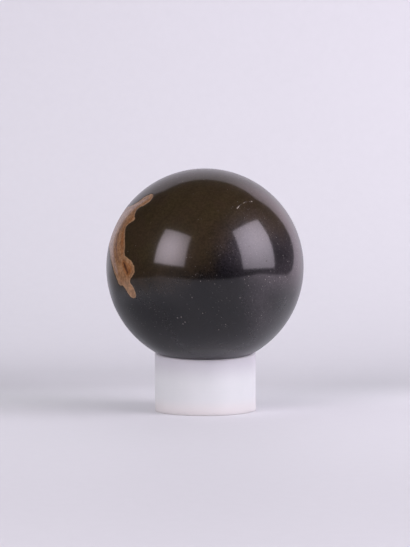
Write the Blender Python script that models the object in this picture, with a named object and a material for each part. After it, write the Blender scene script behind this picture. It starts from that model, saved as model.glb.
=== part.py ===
"""A polished stone ball that rests in a short plastic display ring.

The ring is a tube that stands on its square-cut foot. Its rim is cut a little aslant, lowest at the
front, and a conical seat falls from the rim to the bore. The ball bears on the upper edge of that
seat, so its place follows from the ring's sizes. The origin is on the surface that the ring stands
on, right under the ball's centre. +Z is up, -Y is the front, and every length is in metres.
"""

import math

import bpy

# The ball
BALL_DIAMETER = 0.070
BALL_SUBDIVISIONS = 5

# The ring: a tube, open at both ends, with its height measured at its axis
RING_OUTER_DIAMETER = 0.036
RING_WALL = 0.003
RING_HEIGHT = 0.0206
RING_EDGE_ROUND = 0.0002
RING_STEPS = 72
EDGE_STEPS = 3

# The rim: how far it leans to the front, and the flat land between its rounded edge and the seat
RIM_LEAN = math.radians(4.2)
RIM_LAND = 0.0002

# The seat falls this much more steeply than the ball's surface, so only its upper edge bears
SEAT_RELIEF = math.radians(5.0)

# The play left between the ball and the edge that it bears on
SEAT_GAP = 0.0003

# The widest share of the wall that one rounded edge may take
MOST_ROUND = 0.45

# A facet turned by more than this is an edge, and not part of a round surface
SHARP_ANGLE = math.radians(32.0)

STONE_COLOUR = (0.022, 0.017, 0.012, 1.0)
PLASTIC_COLOUR = (0.80, 0.80, 0.82, 1.0)


def clear_scene():
    """Take away whatever the scene starts with."""
    for found in list(bpy.data.objects):
        bpy.data.objects.remove(found, do_unlink=True)


def make_collection(name):
    """Make a collection in the scene for the object's parts."""
    collection = bpy.data.collections.new(name)
    bpy.context.scene.collection.children.link(collection)
    return collection


def make_material(name, colour, roughness, metallic):
    """Make a plain Principled material."""
    material = bpy.data.materials.new(name)
    material.use_nodes = True
    shader = material.node_tree.nodes["Principled BSDF"]
    shader.inputs["Base Color"].default_value = colour
    shader.inputs["Roughness"].default_value = roughness
    shader.inputs["Metallic"].default_value = metallic
    material.diffuse_color = colour
    return material


def edge_radius():
    """The rounding of the ring's edges, limited by its wall."""
    return min(RING_EDGE_ROUND, MOST_ROUND * RING_WALL)


def bore_radius():
    """The radius of the ring's bore."""
    return RING_OUTER_DIAMETER / 2 - RING_WALL


def seat_radius():
    """The radius of the seat's upper edge, which the ball bears on."""
    return RING_OUTER_DIAMETER / 2 - edge_radius() - RIM_LAND


def seat_reach():
    """The distance from the ball's centre to the edge that it bears on."""
    return BALL_DIAMETER / 2 + SEAT_GAP


def seat_drop():
    """How far the seat falls from the rim to the bore."""
    slope = math.asin(seat_radius() / seat_reach()) + SEAT_RELIEF
    return (seat_radius() - bore_radius()) * math.tan(slope)


def ball_rise():
    """The distance from the middle of the rim to the ball's centre."""
    return math.sqrt(seat_reach() ** 2 - seat_radius() ** 2)


def ball_centre_height():
    """The height of the ball's centre."""
    return RING_HEIGHT + ball_rise() * math.cos(RIM_LEAN)


def ring_setback():
    """How far behind the ball's centre the ring's axis is, as the rim leans to the front."""
    return ball_rise() * math.sin(RIM_LEAN)


def rounded_corner(across, height, start_angle):
    """Points of a quarter circle round (across, height), turning clockwise."""
    edge = edge_radius()
    points = []
    for step in range(EDGE_STEPS + 1):
        angle = start_angle - step / EDGE_STEPS * math.pi / 2
        points.append((across + edge * math.cos(angle), height + edge * math.sin(angle)))
    return points


def rim_section():
    """The section's upper points: from the bore up the seat, over the land and round the edge."""
    edge = edge_radius()
    seat = [(bore_radius(), RING_HEIGHT - seat_drop()), (seat_radius(), RING_HEIGHT)]
    return seat + rounded_corner(RING_OUTER_DIAMETER / 2 - edge, RING_HEIGHT - edge, math.pi / 2)


def foot_section():
    """The section's lower points: round the outer edge, in along the foot and up to the bore."""
    edge = edge_radius()
    outer = rounded_corner(RING_OUTER_DIAMETER / 2 - edge, edge, 0.0)
    return outer + rounded_corner(bore_radius() + edge, edge, -math.pi / 2)


def ring_points(step):
    """The ring's section at one step of the turn, with the rim's points leaning to the front."""
    angle = 2 * math.pi * step / RING_STEPS
    points = []
    for section, lean in ((rim_section(), math.tan(RIM_LEAN)), (foot_section(), 0.0)):
        for across, height in section:
            back = across * math.sin(angle)
            points.append((across * math.cos(angle), ring_setback() + back, height + back * lean))
    return points


def make_ring_stand(collection, material):
    """Turn the ring's section round its axis."""
    count = len(rim_section()) + len(foot_section())
    points = []
    faces = []
    for step in range(RING_STEPS):
        points.extend(ring_points(step))
        here = count * step
        there = count * ((step + 1) % RING_STEPS)
        for index in range(count):
            after = (index + 1) % count
            faces.append((here + index, here + after, there + after, there + index))
    mesh = bpy.data.meshes.new("ring_stand")
    mesh.from_pydata(points, [], faces)
    mesh.shade_smooth()
    mesh.set_sharp_from_angle(angle=SHARP_ANGLE)
    mesh.materials.append(material)
    ring = bpy.data.objects.new("ring_stand", mesh)
    collection.objects.link(ring)
    return ring


def make_stone_ball(collection, material):
    """Set the ball on the seat."""
    bpy.ops.mesh.primitive_ico_sphere_add(
        subdivisions=BALL_SUBDIVISIONS,
        radius=BALL_DIAMETER / 2,
        location=(0.0, 0.0, ball_centre_height()),
    )
    ball = bpy.context.object
    ball.name = "stone_ball"
    ball.data.name = "stone_ball"
    for holder in list(ball.users_collection):
        holder.objects.unlink(ball)
    collection.objects.link(ball)
    ball.data.shade_smooth()
    ball.data.set_sharp_from_angle(angle=SHARP_ANGLE)
    ball.data.materials.append(material)
    return ball


def main():
    clear_scene()
    parts = make_collection("decorative_sphere")
    stone = make_material("polished_stone", STONE_COLOUR, roughness=0.08, metallic=0.0)
    plastic = make_material("ring_plastic", PLASTIC_COLOUR, roughness=0.35, metallic=0.0)
    make_ring_stand(parts, plastic)
    make_stone_ball(parts, stone)


main()
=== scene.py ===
"""The looks of a polished stone ball that rests in a milky plastic display ring.

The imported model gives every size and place. The ball and the ring are modelled again here with
their finer form: the pits, the crack and the rough tan rind of the stone, and the soft edges of
the ring. Lengths are in metres. Places on the ball are given by longitude and latitude in
degrees, where longitude 0 faces the viewer at -Y and grows towards +X.
"""

import logging
import math
import random
from dataclasses import dataclass
from enum import Enum
from functools import cached_property

import bmesh
import bpy
import numpy as np
from mathutils import Matrix, Vector, noise


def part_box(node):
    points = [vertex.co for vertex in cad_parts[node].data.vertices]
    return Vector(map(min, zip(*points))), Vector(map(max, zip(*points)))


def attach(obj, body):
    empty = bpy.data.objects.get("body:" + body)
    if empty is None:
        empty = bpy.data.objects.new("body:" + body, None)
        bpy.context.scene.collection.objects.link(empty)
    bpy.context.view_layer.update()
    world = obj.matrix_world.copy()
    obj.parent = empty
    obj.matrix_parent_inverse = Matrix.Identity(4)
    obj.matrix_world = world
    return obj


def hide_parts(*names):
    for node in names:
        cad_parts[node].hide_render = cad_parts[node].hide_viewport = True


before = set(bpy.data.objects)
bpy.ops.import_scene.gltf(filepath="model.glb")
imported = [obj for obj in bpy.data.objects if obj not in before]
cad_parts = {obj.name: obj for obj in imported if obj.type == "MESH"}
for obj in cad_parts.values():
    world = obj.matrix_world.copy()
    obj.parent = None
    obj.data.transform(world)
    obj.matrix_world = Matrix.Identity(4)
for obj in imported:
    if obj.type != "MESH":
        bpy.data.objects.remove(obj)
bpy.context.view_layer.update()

LOG = logging.getLogger("decorative_sphere")

MM = 0.001
BODY = "root"
BALL_NODE = "stone_ball"
RING_NODE = "ring_stand"
MAP_NAME = "OFBake"
TINY = 1e-9

Socket = bpy.types.NodeSocket
Feed = Socket | float | tuple[float, ...]
Colour = tuple[float, float, float]
Triple = tuple[float, float, float]
Pair = tuple[float, float]
Spots = tuple[Pair, ...]


class Mark(Enum):
    """The measures that the ball's mesh carries for its material, each in millimetres or a share."""

    RIND = "rind_depth"
    VEIN = "vein_distance"
    EYE = "eye_distance"
    ASH = "ash_distance"
    STRIPE = "stripe_distance"
    CRACK = "crack_distance"
    PIT = "pit_share"
    # How far inside the brown upper part a place is; the brown is partly the glass's own colour and
    # partly painted sheen.
    BROWN_SHEEN = "brown_depth"
    # How near a place is to the zone of painted glow and worn grains round the right soft box's
    # highlight.
    WORN_AND_GLOW = "worn_distance"


class Slot(Enum):
    """The record's material slots."""

    STONE = "polished_stone"
    PLASTIC = "ring_plastic"


def opaque(colour: Colour) -> tuple[float, float, float, float]:
    """Add a full alpha to a colour."""
    return (*colour, 1.0)


def smooth_step(values: np.ndarray, start: float, end: float) -> np.ndarray:
    """Rise smoothly from 0 where the values are at start to 1 where they are at end."""
    share = np.clip((values - start) / (end - start), 0.0, 1.0)
    return share * share * (3.0 - 2.0 * share)


def unit_rows(rows: np.ndarray) -> np.ndarray:
    """Scale each row of an array to length 1."""
    return rows / np.linalg.norm(rows, axis=1, keepdims=True)


def directions_at(places: Spots) -> np.ndarray:
    """Turn places on the ball into directions from its centre.

    Args:
        places: Longitude and latitude in degrees.

    Returns:
        One unit vector a row.
    """
    angles = np.radians(np.asarray(places, dtype=float))
    longitude = angles[:, 0]
    latitude = angles[:, 1]
    across = np.sin(longitude) * np.cos(latitude)
    towards = -np.cos(longitude) * np.cos(latitude)
    return np.column_stack((across, towards, np.sin(latitude)))


@dataclass(frozen=True)
class Ramp:
    """A number that goes smoothly from low to high as another goes from start to end."""

    start: float
    end: float
    low: float = 0.0
    high: float = 1.0


class NodeSheet:
    """A node tree, with short ways to add nodes and wire them."""

    def __init__(self, tree: bpy.types.NodeTree) -> None:
        """Take the tree that is to be filled."""
        self.tree = tree

    def add(self, kind: str, **settings: object) -> bpy.types.Node:
        """Add a node.

        Args:
            kind: The node's type.
            settings: Its options by name.

        Returns:
            The new node.
        """
        node = self.tree.nodes.new(kind)
        for name, value in settings.items():
            setattr(node, name, value)
        return node

    def feed(self, socket: Socket, value: Feed) -> None:
        """Wire a socket to another one, or set its plain value.

        Args:
            socket: The input to feed.
            value: An output socket, a number or a tuple.
        """
        if isinstance(value, bpy.types.NodeSocket):
            self.tree.links.new(value, socket)
        else:
            socket.default_value = value

    def feed_all(self, node: bpy.types.Node, inputs: dict[str, Feed]) -> None:
        """Feed some of a node's inputs by name."""
        for name, value in inputs.items():
            self.feed(node.inputs[name], value)

    def sum(self, operation: str, first: Feed, second: Feed = 0.0, clamp: bool = False) -> Socket:
        """Work out one number from two.

        Args:
            operation: The Math node's operation.
            first: The first number.
            second: The second number.
            clamp: Whether the result is kept from 0 to 1.

        Returns:
            The result's socket.
        """
        node = self.add("ShaderNodeMath", operation=operation, use_clamp=clamp)
        self.feed(node.inputs[0], first)
        self.feed(node.inputs[1], second)
        return node.outputs[0]

    def times(self, first: Feed, second: Feed) -> Socket:
        """Multiply two numbers."""
        return self.sum("MULTIPLY", first, second)

    def most(self, first: Feed, second: Feed) -> Socket:
        """Take the larger of two numbers."""
        return self.sum("MAXIMUM", first, second)

    def point(self, operation: str, first: Feed, second: Feed = (0.0, 0.0, 0.0)) -> Socket:
        """Work out one vector from two, or a length or dot product.

        Args:
            operation: The Vector Math node's operation.
            first: The first vector.
            second: The second vector, or the number to scale by.

        Returns:
            The result's socket.
        """
        node = self.add("ShaderNodeVectorMath", operation=operation)
        self.feed(node.inputs[0], first)
        self.feed(node.inputs["Scale" if operation == "SCALE" else 1], second)
        return node.outputs["Value" if operation in ("DOT_PRODUCT", "LENGTH") else "Vector"]

    def stretch(self, where: Feed, amount: Feed) -> Socket:
        """Scale a vector by one number."""
        return self.point("SCALE", where, amount)

    def fade(self, value: Feed, start: Feed, end: Feed, low: Feed = 0.0, high: Feed = 1.0) -> Socket:
        """Pass smoothly from one number to another as a value goes from start to end.

        Args:
            value: The value that is followed.
            start: Where the change starts.
            end: Where the change ends.
            low: The result at start.
            high: The result at end.

        Returns:
            The result's socket.
        """
        node = self.add("ShaderNodeMapRange", interpolation_type="SMOOTHSTEP")
        inputs = {"Value": value, "From Min": start, "From Max": end, "To Min": low, "To Max": high}
        self.feed_all(node, inputs)
        return node.outputs["Result"]

    def ramp(self, value: Feed, ramp: Ramp) -> Socket:
        """Follow a value along a named ramp."""
        return self.fade(value, ramp.start, ramp.end, ramp.low, ramp.high)

    def blend(self, share: Feed, low: Feed, high: Feed, how: str = "MIX") -> Socket:
        """Mix two colours.

        Args:
            share: How much of the second colour shows.
            low: The first colour.
            high: The second colour.
            how: The Mix node's blend type.

        Returns:
            The mixed colour's socket.
        """
        node = self.add("ShaderNodeMix", data_type="RGBA", blend_type=how)
        self.feed(node.inputs[0], share)
        for socket, colour in ((node.inputs[6], low), (node.inputs[7], high)):
            self.feed(socket, opaque(colour) if isinstance(colour, tuple) else colour)
        return node.outputs[2]

    def shade(self, colour: Feed, factor: Feed) -> Socket:
        """Darken or lighten a colour by one factor."""
        return self.blend(1.0, colour, self.stretch((1.0, 1.0, 1.0), factor), "MULTIPLY")

    def tint(self, share: Feed, colour: Feed, factors: Colour) -> Socket:
        """Multiply a colour by another one as far as the share says."""
        return self.blend(share, colour, self.blend(1.0, colour, factors, "MULTIPLY"))

    def split(self, where: Feed) -> tuple[Socket, Socket, Socket]:
        """Take a place apart into X, Y and Z."""
        node = self.add("ShaderNodeSeparateXYZ")
        self.feed(node.inputs[0], where)
        return tuple(node.outputs)

    def cloud(self, where: Feed, scale: Feed, detail: float, rough: float) -> Socket:
        """Add a noise texture.

        Args:
            where: The place that it is read at.
            scale: Clouds for each metre.
            detail: How many finer layers it has.
            rough: How strong the finer layers are.

        Returns:
            The socket of its value.
        """
        node = self.add("ShaderNodeTexNoise")
        self.feed_all(node, {"Vector": where, "Scale": scale, "Detail": detail, "Roughness": rough})
        return node.outputs["Fac"]

    def place(self, group: bpy.types.NodeTree, **values: Feed) -> bpy.types.Node:
        """Place a shared node group.

        Args:
            group: The group's node tree.
            values: What each input gets.

        Returns:
            The group's node.
        """
        node = self.add("ShaderNodeGroup", node_tree=group)
        self.feed_all(node, values)
        return node


class FinishSheet(NodeSheet):
    """The node sheet of one material, round its Principled shader."""

    def __init__(self, name: str) -> None:
        """Start a material of the given name."""
        self.material = bpy.data.materials.new(name)
        self.material.use_nodes = True
        super().__init__(self.material.node_tree)
        self.shader = self.tree.nodes["Principled BSDF"]

    @cached_property
    def where(self) -> Socket:
        """The place on the object, which the effects are read at."""
        return self.add("ShaderNodeTexCoord").outputs["Object"]

    def read(self, group: bpy.types.NodeTree, **values: Feed) -> Socket:
        """Place a shared node group on the object and take its first output."""
        return self.place(group, Place=self.where, **values).outputs[0]

    def measure(self, mark: Mark) -> Socket:
        """Read one of the measures that the ball's mesh carries."""
        return self.add("ShaderNodeAttribute", attribute_name=mark.value).outputs["Fac"]

    def dress(self, inputs: dict[str, Feed]) -> None:
        """Feed the shader's inputs by name."""
        self.feed_all(self.shader, inputs)

    def relieve(self, height: Socket, depth: float, strength: float) -> None:
        """Give the shader fine relief.

        Args:
            height: The relief, where 1 stands for the full depth.
            depth: The full depth in metres.
            strength: How strongly the relief shows.
        """
        bump = self.add("ShaderNodeBump")
        self.feed_all(bump, {"Strength": strength, "Distance": depth, "Height": height})
        self.dress({"Normal": bump.outputs["Normal"]})


def start_group(name: str, takes: dict[str, float | None], gives: tuple[str, ...]) -> tuple:
    """Start a shared node group.

    Args:
        name: The group's name.
        takes: Its inputs with their plain values, where None stands for a vector.
        gives: Its outputs' names.

    Returns:
        Its node sheet, what it is given and what it gives.
    """
    tree = bpy.data.node_groups.new(name, "ShaderNodeTree")
    for label, value in takes.items():
        kind = "NodeSocketVector" if value is None else "NodeSocketFloat"
        made = tree.interface.new_socket(name=label, in_out="INPUT", socket_type=kind)
        if value is not None:
            made.default_value = value
    for label in gives:
        tree.interface.new_socket(name=label, in_out="OUTPUT", socket_type="NodeSocketFloat")
    sheet = NodeSheet(tree)
    return sheet, sheet.add("NodeGroupInput").outputs, sheet.add("NodeGroupOutput").inputs


class Effects:
    """The effects that more than one finish uses, each made once as a node group."""

    MOTTLE_NOISE = (4.0, 0.55)
    BAND_NOISE = (1.0, 3.0, 0.6)
    SCUFF_NOISE = (2.0, 0.5)
    SPOT_CORE = 0.45
    SCUFF_SPAN = (0.78, 0.9)
    SCUFF_GAIN = 0.25
    SCUFF_LAYERS = (((0.4, 0.2, 0.9), (1.0, 14.0, 9.0)), ((1.2, 0.7, 0.1), (12.0, 1.0, 16.0)))

    def __init__(self) -> None:
        """Make every group."""
        self.spots = self.make_spots()
        self.mottle = self.make_mottle()
        self.bands = self.make_bands()
        self.scuffs = self.make_scuffs()

    def make_spots(self) -> bpy.types.NodeTree:
        """Scattered round spots: pits, pale grains, dust.

        Returns:
            A group that gives a mask of the spots and a tone that differs from spot to spot.
        """
        takes = {"Place": None, "Spacing": MM, "Reach": 0.2, "Share": 0.5}
        sheet, given, result = start_group("Scattered spots", takes, ("Mask", "Tone"))
        cells = sheet.add("ShaderNodeTexVoronoi", feature="F1")
        sheet.feed(cells.inputs["Vector"], given["Place"])
        sheet.feed(cells.inputs["Scale"], sheet.sum("DIVIDE", 1.0, given["Spacing"]))
        draw = sheet.add("ShaderNodeSeparateColor")
        sheet.feed(draw.inputs[0], cells.outputs["Color"])
        inner = sheet.times(given["Reach"], self.SPOT_CORE)
        spot = sheet.fade(cells.outputs["Distance"], inner, given["Reach"], 1.0, 0.0)
        chosen = sheet.sum("LESS_THAN", draw.outputs[0], given["Share"])
        sheet.feed(result["Mask"], sheet.times(spot, chosen))
        sheet.feed(result["Tone"], draw.outputs[1])
        return sheet.tree

    def make_mottle(self) -> bpy.types.NodeTree:
        """Soft clouds of uneven tone.

        Returns:
            A group that gives a value from 0 to 1, with the edge between the two as soft as asked.
        """
        takes = {"Place": None, "Size": 10.0 * MM, "Softness": 0.2}
        sheet, given, result = start_group("Soft mottle", takes, ("Value",))
        scale = sheet.sum("DIVIDE", 1.0, given["Size"])
        cloud = sheet.cloud(given["Place"], scale, *self.MOTTLE_NOISE)
        low = sheet.sum("SUBTRACT", 0.5, given["Softness"])
        high = sheet.sum("ADD", 0.5, given["Softness"])
        sheet.feed(result["Value"], sheet.fade(cloud, low, high))
        return sheet.tree

    def make_bands(self) -> bpy.types.NodeTree:
        """Thin layers across one direction, as flow lines in stone or draw marks in plastic.

        Returns:
            A group that gives a value from 0 to 1.
        """
        takes = {"Place": None, "Direction": None, "Spacing": MM, "Waver": 0.2}
        sheet, given, result = start_group("Layered bands", takes, ("Value",))
        through = sheet.point("DOT_PRODUCT", given["Place"], given["Direction"])
        scaled = sheet.sum("DIVIDE", through, given["Spacing"])
        wide = sheet.sum("DIVIDE", given["Waver"], given["Spacing"])
        aside = sheet.stretch(given["Place"], wide)
        where = sheet.point("ADD", sheet.stretch(given["Direction"], scaled), aside)
        sheet.feed(result["Value"], sheet.cloud(where, *self.BAND_NOISE))
        return sheet.tree

    def make_scuffs(self) -> bpy.types.NodeTree:
        """Short hairline scuffs from handling, in two directions.

        Returns:
            A group that gives a mask.
        """
        takes = {"Place": None, "Length": 10.0 * MM, "Amount": 0.3}
        sheet, given, result = start_group("Hairline scuffs", takes, ("Mask",))
        scale = sheet.sum("DIVIDE", 1.0, given["Length"])
        start, end = self.SCUFF_SPAN
        start = sheet.sum("SUBTRACT", start, sheet.times(given["Amount"], self.SCUFF_GAIN))
        masks = []
        for turn, thin in self.SCUFF_LAYERS:
            turned = sheet.add("ShaderNodeMapping")
            sheet.feed_all(turned, {"Vector": given["Place"], "Rotation": turn, "Scale": thin})
            cloud = sheet.cloud(turned.outputs["Vector"], scale, *self.SCUFF_NOISE)
            masks.append(sheet.fade(cloud, start, end))
        sheet.feed(result["Mask"], sheet.most(masks[0], masks[1]))
        return sheet.tree


@dataclass(frozen=True)
class PolishedStone:
    """Volcanic glass, olive brown into blue black, with a tan rind left on one side. The olive brown of
    the upper part is partly the glass's own colour and partly painted gold sheen, put where the soft
    boxes above light it.

    A ramp that follows one of the ball's marks starts and ends so many millimetres from its edge.
    A noise is given by its scale, its detail and its roughness.
    """

    # Olive and umber make the brown of the upper part: partly the glass's own colour, partly painted gold
    # sheen under the soft boxes.
    olive: Colour = (0.028, 0.0205, 0.0085)
    umber: Colour = (0.029, 0.0190, 0.0100)
    black: Colour = (0.0012, 0.0012, 0.0020)
    charcoal: Colour = (0.0035, 0.0030, 0.0035)
    # Painted glow: a grey added to the base colour round the right soft box's highlight.
    painted_glow: Colour = (0.018, 0.0155, 0.0175)
    grain: Colour = (0.24, 0.225, 0.21)
    tan: Colour = (0.215, 0.118, 0.058)
    pale_edge: Colour = (0.270, 0.170, 0.090)
    rust: Colour = (0.190, 0.074, 0.022)
    ash: Colour = (0.260, 0.180, 0.135)
    mauve: Colour = (0.120, 0.068, 0.050)
    deep_brown: Colour = (0.050, 0.021, 0.010)
    crack_white: Colour = (0.30, 0.27, 0.22)

    flow: Triple = (0.68, 0.14, -0.72)
    streak: Triple = (0.86, 0.45, 0.22)
    haze_roughness: float = 0.36
    haze_refraction: float = 1.16
    coat_roughness: float = 0.105
    coat_refraction: float = 1.46
    relief: float = 0.06 * MM
    relief_strength: float = 0.6
    grain_dullness: float = 0.85
    dull_haze: float = 0.25
    scuff_haze: float = 0.06
    fray: Triple = (900.0, 3.0, 0.6)
    brown_drift: Triple = (110.0, 3.0, 0.55)
    grain_crowds: Triple = (70.0, 2.0, 0.5)
    least_crowd: float = 0.45
    grain_tone_power: float = 2.4
    grain_strength: float = 0.5
    dark_grit: float = 0.8
    rust_clouds: float = 0.25
    pore_strength: float = 0.6

    ragged: Ramp = Ramp(0.25, 0.75, -0.16, 0.16)
    rind_border: Ramp = Ramp(-0.08, 0.10)
    crack_border: Ramp = Ramp(0.06, -0.12)
    pore_dullness: Ramp = Ramp(0.0, 1.0, 0.12, 0.9)
    limb_gloss: Ramp = Ramp(0.42, 1.05, 1.0, 0.55)
    left_side: Ramp = Ramp(-0.028, 0.004, 1.0, 0.0)
    low_side: Ramp = Ramp(0.0361, 0.0456, 1.0, 0.0)
    low_left_gloss: Ramp = Ramp(0.0, 1.0, 1.0, 0.55)

    band_shade: Ramp = Ramp(0.32, 0.62, 0.84, 0.96)
    brown_waver: Ramp = Ramp(0.2, 0.8, -2.5, 2.5)
    brown_border: Ramp = Ramp(-7.0, 7.0)
    worn_and_glow_border: Ramp = Ramp(-2.0, 12.0, 1.0, 0.0)
    crowding: Ramp = Ramp(0.42, 0.66)
    grit_rise: Ramp = Ramp(0.0, 1.0, 1.45, 1.12)
    grain_share: Ramp = Ramp(0.0, 1.0, 0.32, 0.05)

    pale_streaks: Ramp = Ramp(0.40, 0.70, 0.0, 0.6)
    ash_border: Ramp = Ramp(-0.3, 0.8, 0.95, 0.0)
    ash_clouds: Ramp = Ramp(0.0, 1.0, 1.0, 0.75)
    stripe_border: Ramp = Ramp(-0.2, 0.5, 0.85, 0.0)
    stripe_clouds: Ramp = Ramp(0.0, 1.0, 1.0, 0.6)
    vein_border: Ramp = Ramp(-0.1, 0.6, 0.8, 0.0)
    vein_clouds: Ramp = Ramp(0.0, 1.0, 0.55, 1.0)
    edge_band: Ramp = Ramp(0.25, 0.6, 0.85, 0.0)
    edge_seam: Ramp = Ramp(0.0, 0.2, 0.7, 0.0)
    eye_ring: Ramp = Ramp(0.3, 1.4, 0.75, 0.0)
    eye_slot: Ramp = Ramp(-0.25, 0.3, 0.9, 0.0)
    unevenness: Ramp = Ramp(0.0, 1.0, 0.68, 1.20)

    def make(self, effects: Effects) -> bpy.types.Material:
        """Make the material.

        Args:
            effects: The shared node groups.

        Returns:
            The finished material.
        """
        sheet = FinishSheet("polished_stone_finish")
        ragged = sheet.ramp(sheet.cloud(sheet.where, *self.fray), self.ragged)
        depth = sheet.sum("ADD", sheet.measure(Mark.RIND), ragged)
        rind = sheet.ramp(depth, self.rind_border)
        crack = sheet.ramp(sheet.sum("ADD", sheet.measure(Mark.CRACK), ragged), self.crack_border)
        body, grains = self.body_colour(sheet, effects)
        skin, pores = self.rind_colour(sheet, effects, depth)
        dull = sheet.most(sheet.times(grains, self.grain_dullness), crack)
        dull = sheet.most(dull, sheet.times(rind, sheet.ramp(pores, self.pore_dullness)))
        scuffs = sheet.read(effects.scuffs, Length=12.0 * MM, Amount=0.08)
        rough = sheet.sum("ADD", self.haze_roughness, sheet.times(scuffs, self.scuff_haze))
        sheet.dress({
            "Base Color": sheet.blend(crack, sheet.blend(rind, body, skin), self.crack_white),
            "Roughness": sheet.sum("ADD", rough, sheet.times(dull, self.dull_haze), clamp=True),
            "IOR": self.haze_refraction,
            "Coat Weight": self.gloss(sheet, dull),
            "Coat Roughness": self.coat_roughness,
            "Coat IOR": self.coat_refraction,
        })
        sunk = sheet.most(grains, sheet.times(pores, rind))
        sheet.relieve(sheet.times(sunk, -1.0), self.relief, self.relief_strength)
        return sheet.material

    def gloss(self, sheet: FinishSheet, dull: Socket) -> Socket:
        """The strength of the polish, which is weaker at the limb and low on the left.

        Args:
            sheet: The material's node sheet.
            dull: The mask of what takes no polish.

        Returns:
            The polish's strength.
        """
        facing = sheet.add("ShaderNodeLayerWeight").outputs["Facing"]
        gloss = sheet.times(sheet.sum("SUBTRACT", 1.0, dull), sheet.ramp(facing, self.limb_gloss))
        across, _, up = sheet.split(sheet.where)
        low_left = sheet.times(sheet.ramp(across, self.left_side), sheet.ramp(up, self.low_side))
        return sheet.times(gloss, sheet.ramp(low_left, self.low_left_gloss))

    def body_colour(self, sheet: FinishSheet, effects: Effects) -> tuple[Socket, Socket]:
        """The stone's body: brown above, black below, with flow bands and pale grains. The brown above is
        partly the glass's own colour and partly painted gold sheen where the soft boxes above light it,
        and a painted grey glow lies round the right soft box's highlight.

        Args:
            sheet: The material's node sheet.
            effects: The shared node groups.

        Returns:
            The colour and the mask of the pale grains and pits.
        """
        patches = sheet.read(effects.mottle, Size=9.0 * MM, Softness=0.22)
        bands = sheet.read(effects.bands, Direction=self.flow, Spacing=3.6 * MM, Waver=0.18)
        brown = sheet.blend(patches, self.olive, self.umber)
        brown = sheet.shade(brown, sheet.ramp(bands, self.band_shade))
        dark = sheet.blend(patches, self.black, self.charcoal)
        # Painted sheen, partly the glass's own colour: brown in the upper part under the soft boxes,
        # black below.
        waver = sheet.ramp(sheet.cloud(sheet.where, *self.brown_drift), self.brown_waver)
        into_brown_sheen = sheet.ramp(sheet.sum("ADD", sheet.measure(Mark.BROWN_SHEEN), waver), self.brown_border)
        body = sheet.blend(into_brown_sheen, dark, brown)
        # Painted glow round the right soft box's highlight, in the zone that also holds more worn grains.
        worn_and_glow = sheet.ramp(sheet.measure(Mark.WORN_AND_GLOW), self.worn_and_glow_border)
        body = sheet.blend(worn_and_glow, body, sheet.blend(1.0, body, self.painted_glow, "ADD"))
        grit = sheet.read(effects.mottle, Size=0.7 * MM, Softness=0.2)
        brightest = sheet.ramp(into_brown_sheen, self.grit_rise)
        body = sheet.shade(body, sheet.fade(grit, 0.0, 1.0, self.dark_grit, brightest))

        crowd = sheet.ramp(sheet.cloud(sheet.where, *self.grain_crowds), self.crowding)
        zone = sheet.most(sheet.ramp(into_brown_sheen, self.grain_share), worn_and_glow)
        share = sheet.times(zone, sheet.sum("ADD", self.least_crowd, crowd))
        spots = sheet.place(effects.spots, Place=sheet.where, Spacing=0.56 * MM, Reach=0.30, Share=share)
        tone = sheet.sum("POWER", spots.outputs["Tone"], self.grain_tone_power)
        tone = sheet.times(tone, self.grain_strength)
        grains = sheet.most(sheet.times(spots.outputs["Mask"], tone), sheet.measure(Mark.PIT))
        return sheet.blend(grains, body, self.grain), grains

    def rind_colour(self, sheet: FinishSheet, effects: Effects, depth: Socket) -> tuple[Socket, Socket]:
        """The tan rind: a pale edge, a rusty, an ashy and a mauve stripe, and an eye with a dark slot.

        Args:
            sheet: The material's node sheet.
            effects: The shared node groups.
            depth: How far inside the rind's edge the place is, in millimetres.

        Returns:
            The colour and the mask of the rind's pores.
        """
        clouds = sheet.read(effects.mottle, Size=2.6 * MM, Softness=0.2)
        crumbs = sheet.read(effects.mottle, Size=1.0 * MM, Softness=0.25)
        pores = sheet.read(effects.spots, Spacing=0.7 * MM, Reach=0.28, Share=0.45)
        streaks = sheet.read(effects.bands, Direction=self.streak, Spacing=0.9 * MM, Waver=0.12)
        skin = sheet.blend(sheet.ramp(streaks, self.pale_streaks), self.tan, self.pale_edge)
        skin = sheet.blend(sheet.times(clouds, self.rust_clouds), skin, self.rust)
        stripes = (
            (Mark.ASH, self.ash_border, self.ash_clouds, self.ash),
            (Mark.STRIPE, self.stripe_border, self.stripe_clouds, self.mauve),
            (Mark.VEIN, self.vein_border, self.vein_clouds, self.rust),
        )
        for mark, border, cloudy, colour in stripes:
            share = sheet.times(sheet.ramp(sheet.measure(mark), border), sheet.ramp(clouds, cloudy))
            skin = sheet.blend(share, skin, colour)
        eye = sheet.measure(Mark.EYE)
        layers = (
            (depth, self.edge_band, self.pale_edge),
            (depth, self.edge_seam, self.deep_brown),
            (eye, self.eye_ring, self.rust),
            (eye, self.eye_slot, self.deep_brown),
        )
        for measure, ramp, colour in layers:
            skin = sheet.blend(sheet.ramp(measure, ramp), skin, colour)
        skin = sheet.shade(skin, sheet.ramp(crumbs, self.unevenness))
        return sheet.blend(sheet.times(pores, self.pore_strength), skin, self.deep_brown), pores


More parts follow.
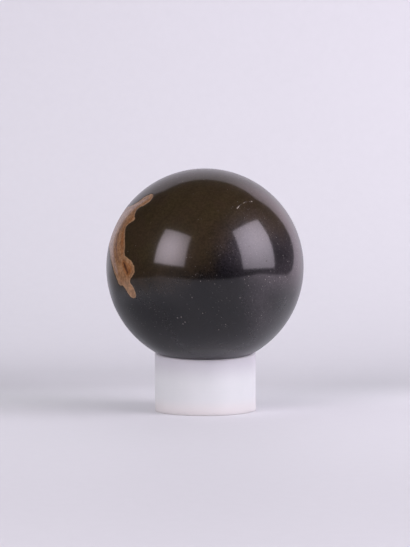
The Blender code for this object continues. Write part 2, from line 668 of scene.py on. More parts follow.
@dataclass(frozen=True)
class MilkyPlastic:
    """Milky white plastic with a satin skin, faint draw marks and light scuffs. Painted shade darkens it
    towards the rim under the ball, and painted bounce light warms it towards the foot.
    """

    milk: Colour = (0.575, 0.600, 0.597)
    shade: Colour = (0.555, 0.585, 0.58)
    # Painted shade: darker and bluer towards the rim, where the ball shades the ring.
    ball_shade_tint: Colour = (0.455, 0.460, 0.482)
    # Painted bounce light: warmer towards the foot, where the floor lights the ring.
    floor_bounce_tint: Colour = (0.595, 0.585, 0.572)
    dirt: Colour = (0.32, 0.29, 0.27)
    ball_shade_zone: Ramp = Ramp(10.45 * MM, 19.76 * MM)
    floor_bounce_zone: Ramp = Ramp(0.95 * MM, 6.08 * MM, 1.0, 0.0)
    draw_marks: Ramp = Ramp(0.3, 0.7, 0.4, 1.0)
    dust_strength: float = 0.5
    roughness: float = 0.36
    scuff_haze: float = 0.18
    cloud_haze: float = 0.06
    relief: float = 0.02 * MM
    relief_strength: float = 0.5
    glow: float = 0.9
    glow_depth: float = 5.0 * MM

    def make(self, effects: Effects) -> bpy.types.Material:
        """Make the material.

        Args:
            effects: The shared node groups.

        Returns:
            The finished material.
        """
        sheet = FinishSheet("ring_plastic_finish")
        clouds = sheet.read(effects.mottle, Size=8.0 * MM, Softness=0.3)
        draws = sheet.read(effects.bands, Direction=(0.0, 0.0, 1.0), Spacing=0.7 * MM, Waver=0.05)
        dust = sheet.read(effects.spots, Spacing=2.6 * MM, Reach=0.07, Share=0.3)
        scuffs = sheet.read(effects.scuffs, Length=9.0 * MM, Amount=0.8)
        _, _, up = sheet.split(sheet.where)
        layers = (
            (sheet.times(clouds, sheet.ramp(draws, self.draw_marks)), self.shade),
            # Painted shade: darker and bluer towards the rim, where the ball shades the ring.
            (sheet.ramp(up, self.ball_shade_zone), self.ball_shade_tint),
            # Painted bounce light: warmer towards the foot, where the floor lights the ring.
            (sheet.ramp(up, self.floor_bounce_zone), self.floor_bounce_tint),
            (sheet.times(dust, self.dust_strength), self.dirt),
        )
        colour = self.milk
        for share, layer in layers:
            colour = sheet.blend(share, colour, layer)
        rough = sheet.sum("ADD", self.roughness, sheet.times(scuffs, self.scuff_haze))
        sheet.dress({
            "Base Color": colour,
            "Roughness": sheet.sum("ADD", rough, sheet.times(clouds, self.cloud_haze)),
            "Subsurface Weight": self.glow,
            "Subsurface Radius": (1.0, 1.0, 1.0),
            "Subsurface Scale": self.glow_depth,
        })
        sheet.relieve(sheet.sum("SUBTRACT", draws, scuffs), self.relief, self.relief_strength)
        return sheet.material


@dataclass(frozen=True)
class MarkLine:
    """A line drawn on the ball, open or closed, with its half widths in millimetres."""

    places: Spots
    closed: bool = False
    half_widths: tuple[float, ...] = ()
    steps: int = 5

    def trace(self) -> tuple[np.ndarray, np.ndarray]:
        """Draw the line as a smooth curve.

        Returns:
            The directions along it, and its half width at each of them in metres.
        """
        knots = directions_at(self.places)
        widths = np.asarray(self.half_widths or (0.0,) * len(knots)) * MM
        count = len(knots)
        spans = count if self.closed else count - 1
        rows = []
        wides = []
        for span in range(spans):
            picks = [span - 1, span, span + 1, span + 2]
            picks = [pick % count if self.closed else min(max(pick, 0), count - 1) for pick in picks]
            before, start, end, after = knots[picks]
            for step in range(self.steps):
                share = step / self.steps
                slope_in = (end - before) / 2.0
                slope_out = (after - start) / 2.0
                bend = 3.0 * (end - start) - 2.0 * slope_in - slope_out
                twist = 2.0 * (start - end) + slope_in + slope_out
                rows.append(start + slope_in * share + bend * share**2 + twist * share**3)
                wides.append(widths[picks[1]] + share * (widths[picks[2]] - widths[picks[1]]))
        last = 0 if self.closed else count - 1
        rows.append(knots[last])
        wides.append(widths[last])
        return unit_rows(np.asarray(rows)), np.asarray(wides)

    def distance(self, directions: np.ndarray, radius: float) -> np.ndarray:
        """How far places on the ball are from the line's edge.

        Args:
            directions: The places as unit vectors.
            radius: The ball's radius.

        Returns:
            One distance in metres for each place, below 0 on the line itself.
        """
        trace, widths = self.trace()
        nearest = np.full(len(directions), np.inf)
        for index in range(len(trace) - 1):
            along = trace[index + 1] - trace[index]
            reach = directions - trace[index]
            share = np.clip(reach @ along / (along @ along), 0.0, 1.0)
            gap = np.linalg.norm(reach - share[:, None] * along, axis=1) * radius
            width = widths[index] + share * (widths[index + 1] - widths[index])
            np.minimum(nearest, gap - width, out=nearest)
        return nearest

    def depth(self, directions: np.ndarray, radius: float) -> np.ndarray:
        """How far inside a closed line places on the ball are.

        Args:
            directions: The places as unit vectors.
            radius: The ball's radius.

        Returns:
            One distance in metres for each place, below 0 outside the line.
        """
        trace, _ = self.trace()
        middle = unit_rows(trace.mean(axis=0)[None])[0]
        east = unit_rows(np.cross((0.0, 0.0, 1.0), middle)[None])[0]
        north = np.cross(middle, east)

        def flatten(rows: np.ndarray) -> tuple[np.ndarray, np.ndarray]:
            """Lay directions out flat round the middle of the line."""
            angle = np.arccos(np.clip(rows @ middle, -1.0, 1.0))
            aside = np.maximum(np.hypot(rows @ east, rows @ north), TINY)
            return angle * (rows @ east) / aside, angle * (rows @ north) / aside

        across, up = flatten(directions)
        edge_across, edge_up = flatten(trace)
        inside = np.zeros(len(directions), dtype=bool)
        for index in range(len(trace) - 1):
            low, high = edge_up[index], edge_up[index + 1]
            if low == high:
                continue
            run = edge_across[index + 1] - edge_across[index]
            crossing = edge_across[index] + (up - low) / (high - low) * run
            inside ^= ((low > up) != (high > up)) & (across < crossing)
        distance = self.distance(directions, radius)
        return np.where(inside, distance, -distance)


@dataclass(frozen=True)
class PitCluster:
    """A crowd of small pits round one place on the ball."""

    longitude: float
    latitude: float
    spread: float
    count: int
    narrowest: float = 0.2

    def scatter(self, draw: random.Random) -> list[Pair]:
        """Draw the pits' places.

        Args:
            draw: The seeded source of chance.

        Returns:
            Longitude and latitude of each pit.
        """
        widen = 1.0 / max(math.cos(math.radians(self.latitude)), self.narrowest)
        places = []
        for _ in range(self.count):
            east = draw.gauss(0.0, self.spread) * widen
            places.append((self.longitude + east, self.latitude + draw.gauss(0.0, self.spread)))
        return places


@dataclass(frozen=True)
class StoneBall:
    """The ball: a true sphere with pits, one cracked mark and a rough rind."""

    centre: Vector
    radius: float
    cells: int = 88
    fine_cuts: int = 3
    rind_sink: float = 0.035 * MM
    rind_seam: float = 0.030 * MM
    rind_lumps: float = 0.030 * MM
    crack_depth: float = 0.16 * MM
    pit_radii: Pair = (0.12 * MM, 0.27 * MM)
    pit_depth_share: float = 0.35
    pit_floor: float = 0.2
    rind_step: Pair = (-0.05 * MM, 0.5 * MM)
    seam_width: float = 0.16 * MM
    lump_scale: float = 42.0
    lump_noise: tuple[float, float, int] = (0.7, 2.1, 3)
    lump_rise: float = 0.6 * MM
    crack_step: Pair = (0.12 * MM, -0.08 * MM)
    mark_margin: float = 0.7 * MM
    pit_margin: float = 0.5 * MM
    normal_step: float = 0.03 * MM
    tangent_guide: Triple = (0.31, 0.62, 0.72)
    map_margin: float = 0.004
    seed: int = 11

    rind: MarkLine = MarkLine(
        closed=True,
        places=(
            (-47.5, 46.5), (-47.0, 42.5), (-51.0, 39.0), (-55.5, 37.0), (-55.5, 33.0), (-52.5, 29.5),
            (-57.5, 26.5), (-59.0, 24.0), (-56.0, 18.5), (-53.5, 13.0), (-52.5, 8.5), (-47.5, 6.0),
            (-44.0, 3.0), (-43.5, -1.0), (-46.5, -4.5), (-47.5, -6.5), (-45.0, -10.0), (-44.0, -13.5),
            (-45.0, -15.5), (-48.5, -15.5), (-51.0, -13.0), (-54.5, -9.0), (-58.5, -9.0), (-61.0, -5.5),
            (-64.5, -1.0), (-68.0, 3.0), (-72.0, 7.0), (-77.5, 11.5), (-86.0, 14.0), (-95.0, 19.0),
            (-100.0, 26.0), (-95.0, 33.0), (-85.0, 36.5), (-76.0, 38.0), (-64.5, 40.5), (-58.0, 46.0),
            (-52.0, 48.0),
        ),
    )
    vein: MarkLine = MarkLine(
        places=(
            (-51.5, 41.5), (-54.5, 38.5), (-57.5, 35.0), (-56.0, 31.0), (-59.0, 27.5), (-60.5, 22.5),
            (-59.0, 17.5), (-57.0, 13.0), (-55.5, 8.5), (-54.0, 6.0), (-48.5, 3.0), (-47.0, 1.0),
            (-48.0, -2.0),
        ),
        half_widths=(0.1, 0.0, -0.5, 0.35, 0.1, 0.5, 0.7, 0.7, 0.2, -0.5, 0.3, 0.6, 0.2),
    )
    ash: MarkLine = MarkLine(
        places=(
            (-52.0, 44.5), (-60.0, 39.5), (-67.0, 35.5), (-73.0, 29.0), (-76.0, 22.0), (-75.0, 15.0),
            (-70.0, 9.0), (-64.5, 3.5), (-60.0, -2.0),
        ),
        half_widths=(0.3, 0.9, 2.1, 2.6, 2.4, 2.1, 1.6, 0.9, 0.3),
    )
    stripe: MarkLine = MarkLine(
        places=((-64.0, 27.0), (-66.5, 22.5), (-66.5, 17.5), (-64.5, 13.0), (-61.5, 8.5), (-58.0, 4.5)),
        half_widths=(0.1, 0.4, 0.45, 0.45, 0.3, 0.0),
    )
    eye: MarkLine = MarkLine(
        places=((-53.2, 4.2), (-51.4, 1.8), (-49.4, -1.2)),
        half_widths=(0.2, 0.62, 0.4),
    )
    crack: MarkLine = MarkLine(
        places=((23.4, 37.0), (26.0, 39.0), (29.0, 40.3), (32.0, 41.4), (34.5, 41.4), (38.4, 41.9)),
        half_widths=(0.17, -0.02, -0.05, 0.0, -0.12, 0.17),
    )
    # The upper part that turns brown: partly the glass's own colour and partly painted gold sheen under
    # the soft boxes.
    brown: MarkLine = MarkLine(
        closed=True,
        places=(
            (-62.0, -8.0), (-40.0, -6.5), (-8.0, 1.0), (4.0, 8.0), (12.0, 20.0), (22.0, 24.5),
            (59.0, 21.0), (95.0, 34.0), (140.0, 42.0), (-170.0, 30.0), (-130.0, 8.0), (-90.0, -6.0),
        ),
    )
    # Round the right soft box's highlight: a painted grey glow, and a zone of more worn grains.
    worn_and_glow: MarkLine = MarkLine(
        places=(
            (20.0, 12.0), (30.0, 23.0), (48.0, 18.0), (62.0, 7.0), (46.0, -4.0), (34.0, -13.0),
            (42.0, -30.0),
        ),
        half_widths=(1.0, 1.0, 0.5, 1.0, 1.0, -1.0, -2.0),
    )
    lone_pits: Spots = (
        (22.5, -4.5), (25.0, -8.0), (43.0, -6.0), (20.5, -15.0), (27.5, -24.0), (13.5, -31.5),
        (-17.5, -27.0), (-15.0, -26.5), (-14.5, -31.0), (-7.5, -14.5), (-1.5, -24.0),
    )
    clusters: tuple[PitCluster, ...] = (
        PitCluster(-42.0, 64.0, 7.0, 12),
        PitCluster(64.0, 8.0, 9.0, 26),
        PitCluster(36.0, -14.0, 14.0, 20),
        PitCluster(-4.0, -24.0, 12.0, 8),
        PitCluster(-69.0, -42.0, 2.5, 4),
        PitCluster(-62.0, 12.0, 8.0, 8),
        PitCluster(150.0, -10.0, 30.0, 12),
    )

    @staticmethod
    def from_frame() -> "StoneBall":
        """Take the ball's size and place from the CAD ball's box."""
        low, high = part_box(BALL_NODE)
        low, high = Vector(low), Vector(high)
        return StoneBall(centre=(low + high) / 2.0, radius=(high.z - low.z) / 2.0)

    def pits(self) -> list[tuple[np.ndarray, float]]:
        """Draw every pit.

        Returns:
            The direction and the radius of each.
        """
        draw = random.Random(self.seed)
        places = list(self.lone_pits)
        for cluster in self.clusters:
            places.extend(cluster.scatter(draw))
        middles = directions_at(tuple(places))
        return [(middle, draw.uniform(*self.pit_radii)) for middle in middles]

    def pit_share(self, directions: np.ndarray) -> np.ndarray:
        """How deep in a pit places on the ball are.

        Args:
            directions: The places as unit vectors.

        Returns:
            One share for each place: 0 on the polish and 1 at the bottom of a pit.
        """
        deepest = np.zeros(len(directions))
        for middle, reach in self.pits():
            gap = np.linalg.norm(directions - middle, axis=1) * self.radius
            np.maximum(deepest, smooth_step(gap, reach, self.pit_floor * reach), out=deepest)
        return deepest

    def sunk(self, directions: np.ndarray) -> np.ndarray:
        """How far the surface lies under the true sphere.

        Args:
            directions: The places as unit vectors.

        Returns:
            One depth in metres for each place.
        """
        rind = self.rind.depth(directions, self.radius)
        depth = self.rind_sink * smooth_step(rind, *self.rind_step)
        depth += self.rind_seam * np.exp(-((rind / self.seam_width) ** 2))
        for index in np.flatnonzero(rind > 0.0):
            lump = noise.fractal(Vector(directions[index]) * self.lump_scale, *self.lump_noise)
            depth[index] += self.rind_lumps * (0.5 + 0.5 * lump) * min(rind[index] / self.lump_rise, 1.0)
        crack = self.crack.distance(directions, self.radius)
        depth += self.crack_depth * smooth_step(crack, *self.crack_step)
        return depth + self.pit_radii[1] * self.pit_depth_share * self.pit_share(directions)

    def near_marks(self, directions: np.ndarray) -> np.ndarray:
        """Pick the places that need a finer mesh.

        Args:
            directions: The places as unit vectors.

        Returns:
            True for each place on the rind or near a pit or the crack.
        """
        picked = self.rind.depth(directions, self.radius) > -self.mark_margin
        picked |= self.crack.distance(directions, self.radius) < self.mark_margin
        for middle, reach in self.pits():
            gap = np.linalg.norm(directions - middle, axis=1) * self.radius
            picked |= gap < reach + self.pit_margin
        return picked

    def grid(self) -> bmesh.types.BMesh:
        """Blow a cube's grid up to a unit sphere, with finer cells near the marks.

        Returns:
            The grid.
        """
        grid = bmesh.new()
        bmesh.ops.create_cube(grid, size=2.0)
        bmesh.ops.subdivide_edges(grid, edges=grid.edges[:], cuts=self.cells - 1, use_grid_fill=True)
        for vertex in grid.verts:
            vertex.co = Vector([math.tan(value * math.pi / 4.0) for value in vertex.co]).normalized()
        middles = np.array([face.calc_center_median() for face in grid.faces])
        picked = self.near_marks(unit_rows(middles))
        grid.faces.ensure_lookup_table()
        edges = {edge for index in np.flatnonzero(picked) for edge in grid.faces[index].edges}
        bmesh.ops.subdivide_edges(grid, edges=list(edges), cuts=self.fine_cuts, use_grid_fill=True)
        for vertex in grid.verts:
            vertex.co.normalize()
        return grid

    def normals(self, directions: np.ndarray, depth: np.ndarray) -> np.ndarray:
        """Work out the true normals of the surface with its marks.

        Args:
            directions: The places as unit vectors.
            depth: How far the surface lies under the true sphere there.

        Returns:
            One unit normal for each place.
        """
        step = self.normal_step / self.radius
        aside = unit_rows(np.cross(directions, self.tangent_guide))
        upward = np.cross(directions, aside)
        tilt = np.zeros_like(directions)
        for tangent in (aside, upward):
            moved = self.sunk(unit_rows(directions + tangent * step))
            tilt += tangent * ((moved - depth) / (step * self.radius))[:, None]
        return unit_rows(directions + tilt)

    def write_marks(self, mesh: bpy.types.Mesh, directions: np.ndarray) -> None:
        """Store on the mesh what the material reads.

        Args:
            mesh: The ball's mesh.
            directions: Its vertices as unit vectors from the ball's centre.
        """
        lines = {
            Mark.VEIN: self.vein, Mark.EYE: self.eye, Mark.ASH: self.ash, Mark.STRIPE: self.stripe,
            Mark.CRACK: self.crack, Mark.WORN_AND_GLOW: self.worn_and_glow,
        }
        areas = {Mark.RIND: self.rind, Mark.BROWN_SHEEN: self.brown}
        measures = {mark: line.distance(directions, self.radius) / MM for mark, line in lines.items()}
        measures |= {mark: area.depth(directions, self.radius) / MM for mark, area in areas.items()}
        measures[Mark.PIT] = self.pit_share(directions)
        for mark, values in measures.items():
            layer = mesh.attributes.new(mark.value, "FLOAT", "POINT")
            layer.data.foreach_set("value", values.astype(np.float32))

    def lay_map(self, mesh: bpy.types.Mesh, directions: np.ndarray) -> None:
        """Lay the six sides of the grid out as the six tiles of a texture map.

        Args:
            mesh: The ball's mesh.
            directions: Its vertices as unit vectors from the ball's centre.
        """
        layer = mesh.uv_layers.new(name=MAP_NAME)
        places = np.zeros((len(mesh.loops), 2))
        for polygon in mesh.polygons:
            middle = directions[list(polygon.vertices)].mean(axis=0)
            axis = int(np.argmax(np.abs(middle)))
            others = [index for index in range(3) if index != axis]
            tile = axis + (3 if middle[axis] > 0.0 else 0)
            for loop, vertex in zip(polygon.loop_indices, polygon.vertices):
                spot = directions[vertex]
                share = np.arctan(spot[others] / abs(spot[axis])) / (math.pi / 2.0) + 0.5
                share = self.map_margin + share * (1.0 - 2.0 * self.map_margin)
                places[loop] = ((tile % 3 + share[0]) / 3.0, (tile // 3 + share[1]) / 2.0)
        layer.data.foreach_set("uv", places.ravel())

    def build(self, finish: bpy.types.Material) -> None:
        """Build and dress the ball.

        Args:
            finish: The stone's material.
        """
        grid = self.grid()
        directions = unit_rows(np.array([vertex.co for vertex in grid.verts]))
        depth = self.sunk(directions)
        points = np.array(self.centre) + directions * (self.radius - depth)[:, None]
        mesh = bpy.data.meshes.new("polished_ball")
        grid.to_mesh(mesh)
        grid.free()
        mesh.vertices.foreach_set("co", points.ravel())
        self.write_marks(mesh, directions)
        self.lay_map(mesh, directions)
        mesh.shade_smooth()
        mesh.normals_split_custom_set_from_vertices(self.normals(directions, depth).tolist())
        mesh.materials.append(finish)
        place_piece("polished_ball", mesh, BALL_NODE)


@dataclass(frozen=True)
class RingStand:
    """The ring: a short tube whose rim leans to the front, with a conical seat for the ball."""

    outer: float
    bore: float
    height: float
    back: float
    ball_radius: float
    lean: float = math.radians(4.2)
    land: float = 0.2 * MM
    edge: float = 0.2 * MM
    gap: float = 0.3 * MM
    lip: float = 0.3 * MM
    foot_edge: float = 0.06 * MM
    relief: float = math.radians(5.0)
    edge_steps: int = 6
    wall_steps: int = 14
    turns: int = 192
    hold: float = 0.1 * MM
    waver: float = 0.02 * MM
    waver_scale: float = 2.3

    @staticmethod
    def from_frame() -> "RingStand":
        """Take the ring's sizes and place from the CAD ring and the ball that it holds."""
        low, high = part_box(RING_NODE)
        ball_low, ball_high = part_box(BALL_NODE)
        outer = (high[0] - low[0]) / 2.0
        back = (low[1] + high[1]) / 2.0
        corners = bpy.data.objects[RING_NODE].data.vertices
        bore = min(math.hypot(vertex.co.x, vertex.co.y - back) for vertex in corners)
        height = high[2] - (outer - RingStand.edge) * math.tan(RingStand.lean)
        return RingStand(outer, bore, height, back, ball_radius=(ball_high[2] - ball_low[2]) / 2.0)

    def seat_bottom(self) -> float:
        """The height at which the seat meets the bore, as on the CAD ring."""
        seat = self.outer - self.edge - self.land
        slope = math.asin(seat / (self.ball_radius + self.gap)) + self.relief
        return self.height - (seat - self.bore) * math.tan(slope)

    def corner(self, across: float, up: float, start: float, reach: float) -> list[Pair]:
        """Points of one rounded corner.

        Args:
            across: Distance of the corner's centre from the ring's axis.
            up: Its height.
            start: The angle that it starts at, turning clockwise.
            reach: The corner's radius.

        Returns:
            Distance from the axis and height of each point.
        """
        points = []
        for step in range(self.edge_steps + 1):
            angle = start - step / self.edge_steps * math.pi / 2.0
            points.append((across + reach * math.cos(angle), up + reach * math.sin(angle)))
        return points

    def section(self) -> list[Pair]:
        """The closed section of the tube, whose land rises inwards to a thin lip round the ball.

        Returns:
            Distance from the axis and height of each point.
        """
        outside = self.outer - self.edge
        foot = self.foot_edge
        corners = (
            self.corner(outside, self.height - self.edge, math.pi / 2.0, self.edge),
            self.corner(self.outer - foot, foot, 0.0, foot),
            self.corner(self.bore + foot, foot, -math.pi / 2.0, foot),
            [(self.bore, self.seat_bottom())],
            [(outside - self.land, self.height + self.lip)],
        )
        points: list[Pair] = []
        for index, arc in enumerate(corners):
            points.extend(arc)
            points.extend(self.wall(arc[-1], corners[(index + 1) % len(corners)][0]))
        return points

    def wall(self, start: Pair, end: Pair) -> list[Pair]:
        """Points along a straight stretch, with one close to each end to hold it flat.

        Args:
            start: Where the stretch starts.
            end: Where it ends.

        Returns:
            The points between the two.
        """
        run = Vector(end) - Vector(start)
        if run.length < 3.0 * self.hold:
            return []
        shares = [self.hold / run.length]
        shares.extend(step / self.wall_steps for step in range(1, self.wall_steps))
        shares.append(1.0 - self.hold / run.length)
        return [tuple(Vector(start) + run * share) for share in sorted(shares)]

    def spot(self, angle: float, across: float, up: float) -> Triple:
        """Where a point of the section lies once it is turned round the axis.

        Args:
            angle: The turn.
            across: The point's distance from the axis.
            up: Its height before the rim leans.

        Returns:
            The place.
        """
        around = Vector((math.cos(angle), math.sin(angle), up / self.outer))
        reach = across - self.waver * (0.5 + 0.5 * noise.noise(around * self.waver_scale))
        behind = reach * math.sin(angle)
        raised = behind * math.tan(self.lean) * min(up / self.seat_bottom(), 1.0)
        return (reach * math.cos(angle), self.back + behind, up + raised)

    def build(self, finish: bpy.types.Material) -> None:
        """Build and dress the ring.

        Args:
            finish: The plastic's material.
        """
        section = self.section()
        count = len(section)
        shell = bmesh.new()
        loops = []
        for turn in range(self.turns):
            angle = turn / self.turns * 2.0 * math.pi
            loops.append([shell.verts.new(self.spot(angle, across, up)) for across, up in section])
        layer = shell.loops.layers.uv.new(MAP_NAME)
        for turn in range(self.turns):
            here, there = loops[turn], loops[(turn + 1) % self.turns]
            for step in range(count):
                after = (step + 1) % count
                face = shell.faces.new((here[step], here[after], there[after], there[step]))
                face.smooth = True
                spots = ((turn, step), (turn, step + 1), (turn + 1, step + 1), (turn + 1, step))
                for corner, (round_share, along) in zip(face.loops, spots):
                    corner[layer].uv = (round_share / self.turns, along / count)
        mesh = bpy.data.meshes.new("milky_ring")
        shell.normal_update()
        shell.to_mesh(mesh)
        shell.free()
        mesh.materials.append(finish)
        place_piece("milky_ring", mesh, RING_NODE)


def add_object(name: str, data: bpy.types.ID) -> bpy.types.Object:
    """Put a new object in the scene.

    Args:
        name: The object's name.
        data: Its mesh, light or camera.

    Returns:
        The object.
    """
    made = bpy.data.objects.new(name, data)
    bpy.context.scene.collection.objects.link(made)
    return made


def place_piece(name: str, mesh: bpy.types.Mesh, node: str) -> None:
    """Put a finished mesh in the scene in place of its CAD node.

    Args:
        name: The piece's name.
        mesh: Its mesh, in place.
        node: The CAD node that it stands for.
    """
    piece = add_object(name, mesh)
    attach(piece, BODY)
    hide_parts(node)
    LOG.info("%s: %d faces, in place of %s", name, len(mesh.polygons), node)


@dataclass(frozen=True)
class PaperSweep:
    """A sheet of pale paper that lies flat and curves up behind the object."""

    left: float = -0.32
    right: float = 0.47
    front: float = -0.285
    back: float = 0.37
    top: float = 0.64
    bend: float = 0.24
    bend_steps: int = 24
    drop: float = 0.02 * MM
    sheet_colour: Colour = (0.624, 0.644, 0.660)
    fibre_colour: Colour = (0.610, 0.630, 0.646)
    # Painted light: the right part of the sheet is tinted warmer and brighter.
    lit_warm_side: Colour = (1.52, 1.38, 1.40)
    dim_side: Colour = (0.62, 0.62, 0.62)
    roughness: float = 0.6
    shine: float = 0.2
    front_shade: Ramp = Ramp(-0.21, -0.01, 0.90, 1.05)
    foot_light: Ramp = Ramp(-0.01, 0.04, 1.0, 1.11)
    behind_shade: Ramp = Ramp(-0.04, 0.05, 0.78, 0.85)
    behind_zone: Pair = (0.035, 0.095)
    bend_light: Ramp = Ramp(-0.04, 0.05, 1.09, 1.0)
    bend_zone: Pair = (0.12, 0.20)
    front_gloom: Ramp = Ramp(-0.285, -0.242, 0.05, 1.0)
    lit_warm_zone: Ramp = Ramp(0.11, 0.3)
    dim_zone: Ramp = Ramp(-0.22, -0.09, 1.0, 0.0)
    dim_rise: Ramp = Ramp(0.01, 0.05, 1.0, 0.0)

    def profile(self) -> list[Pair]:
        """The sheet's line from the front to the top.

        Returns:
            Distance back and height of each point.
        """
        points = [(self.front, -self.drop)]
        for step in range(self.bend_steps + 1):
            angle = step / self.bend_steps * math.pi / 2.0
            back = self.back - self.bend + self.bend * math.sin(angle)
            points.append((back, self.bend - self.bend * math.cos(angle) - self.drop))
        points.append((self.back, self.top))
        return points

    def finish(self, effects: Effects) -> bpy.types.Material:
        """Make the paper's material, which the camera sees through from behind.

        Args:
            effects: The shared node groups.

        Returns:
            The finished material.
        """
        sheet = FinishSheet("pale_paper")
        fibres = sheet.read(effects.mottle, Size=4.0 * MM, Softness=0.4)
        colour = sheet.blend(fibres, self.sheet_colour, self.fibre_colour)
        across, back, up = sheet.split(sheet.where)
        tone = sheet.times(sheet.ramp(back, self.front_shade), sheet.ramp(back, self.foot_light))
        behind = sheet.fade(back, *self.behind_zone, 1.0, sheet.ramp(across, self.behind_shade))
        bend = sheet.fade(back, *self.bend_zone, 1.0, sheet.ramp(across, self.bend_light))
        for factor in (behind, bend, sheet.ramp(back, self.front_gloom)):
            tone = sheet.times(tone, factor)
        # Painted light: the right part of the sheet is tinted warmer and brighter.
        colour = sheet.tint(sheet.ramp(across, self.lit_warm_zone), sheet.shade(colour, tone), self.lit_warm_side)
        dim = sheet.times(sheet.ramp(across, self.dim_zone), sheet.ramp(up, self.dim_rise))
        colour = sheet.tint(dim, colour, self.dim_side)
        sheet.dress({"Base Color": colour, "Roughness": self.roughness, "Specular IOR Level": self.shine})
        reverse = sheet.add("ShaderNodeNewGeometry").outputs["Backfacing"]
        seen = sheet.add("ShaderNodeLightPath").outputs["Is Camera Ray"]
        mix = sheet.add("ShaderNodeMixShader")
        sheet.feed(mix.inputs[0], sheet.times(reverse, seen))
        sheet.feed(mix.inputs[1], sheet.shader.outputs[0])
        sheet.feed(mix.inputs[2], sheet.add("ShaderNodeBsdfTransparent").outputs[0])
        sheet.feed(sheet.tree.nodes["Material Output"].inputs["Surface"], mix.outputs[0])
        return sheet.material

    def build(self, effects: Effects) -> None:
        """Build the sheet.

        Args:
            effects: The shared node groups.
        """
        points = []
        for back, up in self.profile():
            points.extend(((self.left, back, up), (self.right, back, up)))
        strips = range(len(points) // 2 - 1)
        faces = [(2 * strip, 2 * strip + 1, 2 * strip + 3, 2 * strip + 2) for strip in strips]
        mesh = bpy.data.meshes.new("paper_sweep")
        mesh.from_pydata(points, [], faces)
        mesh.shade_smooth()
        mesh.materials.append(self.finish(effects))
        stage_piece("paper_sweep", mesh)


@dataclass(frozen=True)
class StudioFloor:
    """The wide floor under the paper: pale where the camera sees it, dark in reflections."""

    reach: float = 6.0
    drop: float = 0.4 * MM
    pale: Colour = (0.588, 0.614, 0.624)
    dark: Colour = (0.02, 0.02, 0.02)
    roughness: float = 0.9
    shine: float = 0.1

    def build(self) -> None:
        """Build the floor."""
        sheet = FinishSheet("studio_floor")
        seen = sheet.add("ShaderNodeLightPath").outputs["Is Camera Ray"]
        colour = sheet.blend(seen, self.dark, self.pale)
        sheet.dress({"Base Color": colour, "Roughness": self.roughness, "Specular IOR Level": self.shine})
        reach = self.reach
        corners = ((-reach, -reach), (reach, -reach), (reach, reach), (-reach, reach))
        mesh = bpy.data.meshes.new("studio_floor")
        mesh.from_pydata([(*corner, -self.drop) for corner in corners], [], [(0, 1, 2, 3)])
        mesh.materials.append(sheet.material)
        stage_piece("studio_floor", mesh)


def stage_piece(name: str, mesh: bpy.types.Mesh) -> None:
    """Put a floor or backdrop in the scene."""
    stage = add_object(name, mesh)


@dataclass(frozen=True)
class SoftBox:
    """A large soft light, brightest at one spot of its face, seen in reflections only."""

    name: str
    middle: Triple
    width: float
    height: float
    across: Triple
    upward: Triple
    colour: Colour
    brightness: float
    hot_spot: Pair
    spread: Pair
    edge_share: float

    def shade_face(self, lamp: bpy.types.AreaLight) -> None:
        """Let the light fall off from its hot spot.

        Args:
            lamp: The light.
        """
        lamp.use_nodes = True
        sheet = NodeSheet(lamp.node_tree)
        on_face = sheet.add("ShaderNodeNewGeometry").outputs["Parametric"]
        aside = sheet.point("SUBTRACT", on_face, (*self.hot_spot, 0.0))
        scaled = sheet.point("DIVIDE", aside, (*self.spread, 1.0))
        flat = sheet.point("MULTIPLY", scaled, (1.0, 1.0, 0.0))
        share = sheet.fade(sheet.point("LENGTH", flat), 0.0, 1.0, 1.0, self.edge_share)
        sheet.feed(sheet.tree.nodes["Emission"].inputs["Strength"], share)

    def build(self) -> None:
        """Hang the light."""
        lamp = bpy.data.lights.new(self.name, "AREA")
        lamp.shape = "RECTANGLE"
        lamp.size = self.width
        lamp.size_y = self.height
        lamp.color = self.colour
        lamp.energy = self.brightness * math.pi * self.width * self.height
        self.shade_face(lamp)
        across = Vector(self.across).normalized()
        outward = across.cross(Vector(self.upward)).normalized()
        upward = outward.cross(across)
        turn = Matrix((across, upward, outward)).transposed().to_4x4()
        light = add_object(self.name, lamp)
        light.matrix_world = Matrix.Translation(self.middle) @ turn
        light.visible_camera = False


@dataclass(frozen=True)
class DarkRoom:
    """What lies beyond the floor: pale to the camera, nearly dark in reflections, soft as a light."""

    pale: Colour = (0.76, 0.735, 0.82)
    gloom: Colour = (0.012, 0.012, 0.012)
    fill: Colour = (0.46, 0.465, 0.47)

    def build(self) -> None:
        """Make the world."""
        world = bpy.data.worlds.new("dark_room")
        world.use_nodes = True
        sheet = NodeSheet(world.node_tree)
        ray = sheet.add("ShaderNodeLightPath")
        unseen = sheet.blend(ray.outputs["Is Diffuse Ray"], self.gloom, self.fill)
        colour = sheet.blend(ray.outputs["Is Camera Ray"], unseen, self.pale)
        sheet.feed(sheet.tree.nodes["Background"].inputs["Color"], colour)
        bpy.context.scene.world = world


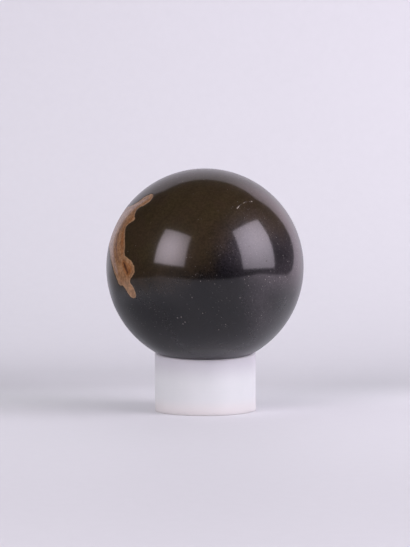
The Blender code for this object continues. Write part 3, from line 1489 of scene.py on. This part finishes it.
@dataclass(frozen=True)
class PhotoCamera:
    """The camera, a long lens a little above the ball's middle."""

    aim: Vector
    distance: float = 0.63
    elevation: float = 2.45
    pitch: float = 2.656
    roll: float = -0.2
    lens: float = 116.8
    sensor: float = 36.0
    nearest: float = 0.01

    def build(self) -> None:
        """Set the camera up."""
        raised = math.radians(self.elevation)
        tilted = math.radians(self.pitch)
        rolled = math.radians(self.roll)
        eye = self.aim + Vector((0.0, -math.cos(raised), math.sin(raised))) * self.distance
        level = Vector((1.0, 0.0, 0.0))
        upright = Vector((0.0, math.sin(tilted), math.cos(tilted)))
        rightward = level * math.cos(rolled) + upright * math.sin(rolled)
        upward = upright * math.cos(rolled) - level * math.sin(rolled)
        turn = Matrix((rightward, upward, rightward.cross(upward))).transposed().to_4x4()
        data = bpy.data.cameras.new("photo_camera")
        data.sensor_fit = "VERTICAL"
        data.sensor_height = self.sensor
        data.lens = self.lens
        data.clip_start = self.nearest
        camera = add_object("photo_camera", data)
        camera.matrix_world = Matrix.Translation(eye) @ turn
        bpy.context.scene.camera = camera
        bpy.context.scene.view_settings.view_transform = "Standard"


SOFT_BOXES = (
    SoftBox(
        name="left_soft_box",
        middle=(-0.491, -0.602, 0.395),
        width=0.533,
        height=0.569,
        across=(0.719, -0.690, -0.088),
        upward=(0.160, 0.023, 0.987),
        colour=(1.0, 0.87, 0.99),
        brightness=7.6,
        hot_spot=(0.42, 0.43),
        spread=(0.82, 0.95),
        edge_share=0.30,
    ),
    SoftBox(
        name="right_soft_box",
        middle=(0.666, -0.329, 0.371),
        width=0.634,
        height=0.667,
        across=(0.370, 0.929, 0.0),
        upward=(-0.220, 0.035, 0.975),
        colour=(0.97, 0.86, 1.0),
        brightness=7.5,
        hot_spot=(0.50, 0.58),
        spread=(0.95, 0.85),
        edge_share=0.42,
    ),
)


def main() -> None:
    """Build the object, its stage and its light, and report each piece."""
    logging.basicConfig(level=logging.INFO, format="%(message)s")
    effects = Effects()
    ball = StoneBall.from_frame()
    ball.build(PolishedStone().make(effects))
    RingStand.from_frame().build(MilkyPlastic().make(effects))
    PaperSweep().build(effects)
    StudioFloor().build()
    for box in SOFT_BOXES:
        box.build()
    DarkRoom().build()
    PhotoCamera(aim=ball.centre).build()


if __name__ == "__main__":
    main()
